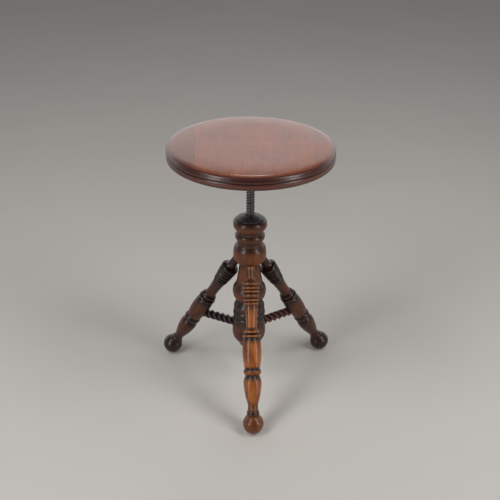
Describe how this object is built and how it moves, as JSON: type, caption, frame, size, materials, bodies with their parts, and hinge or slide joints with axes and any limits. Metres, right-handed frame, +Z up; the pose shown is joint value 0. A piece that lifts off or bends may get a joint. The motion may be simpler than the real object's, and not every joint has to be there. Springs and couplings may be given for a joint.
{
  "type": "adjustable swivel stool",
  "caption": "Turned wooden tripod stool with a round moulded seat on an iron screw, so that turning the seat raises or lowers it.",
  "frame": {"origin": "on the column's axis at floor level, the plane that the three ball feet stand on", "axes": "+Z up along the column and the screw; the front leg points to -Y; +X is to the right of someone who faces the front leg"},
  "size_m": [0.409, 0.4101, 0.591],
  "materials": {
    "seat_wood": "worn satin varnish over a dark red-brown stain",
    "column_wood": "gloss varnish, dark glaze in the grooves",
    "leg_wood": "gloss varnish, worn lighter on the crests",
    "stretcher_wood": "satin varnish over a near-black stain",
    "black_iron": "worn black paint on cast iron",
    "screw_iron": "dark oiled iron, brighter on the thread's crests",
    "fastener_steel": "dull steel, tarnished"
  },
  "bodies": {
    "stand": {"column": "column_wood", "drop_finial": "column_wood", "threaded_collar": "black_iron", "collar_screws": "fastener_steel", "leg_front": "leg_wood", "leg_left": "leg_wood", "leg_right": "leg_wood", "stretcher_front": "stretcher_wood", "stretcher_left": "stretcher_wood", "stretcher_right": "stretcher_wood"},
    "screw_lift": {"stop_washer": "fastener_steel"},
    "turning_seat": {"seat": "seat_wood", "seat_plate": "black_iron", "seat_plate_screws": "fastener_steel", "spindle": "screw_iron", "spindle_pin": "fastener_steel", "stop_screw": "fastener_steel"}
  },
  "joints": [
    {"name": "screw_rise", "type": "slide", "parent": "stand", "child": "screw_lift", "axis": [0, 0, 1], "range_m": [-0.1145, 0.0256]},
    {"name": "seat_turn", "type": "hinge", "parent": "screw_lift", "child": "turning_seat", "pos_m": [0, 0, 0.4], "axis": [0, 0, 1], "range_deg": [-6480, 1440]}
  ],
  "couplings": [
    {"joint": "screw_rise", "follows": "seat_turn", "m_per_rad": 0.0010106}
  ]
}
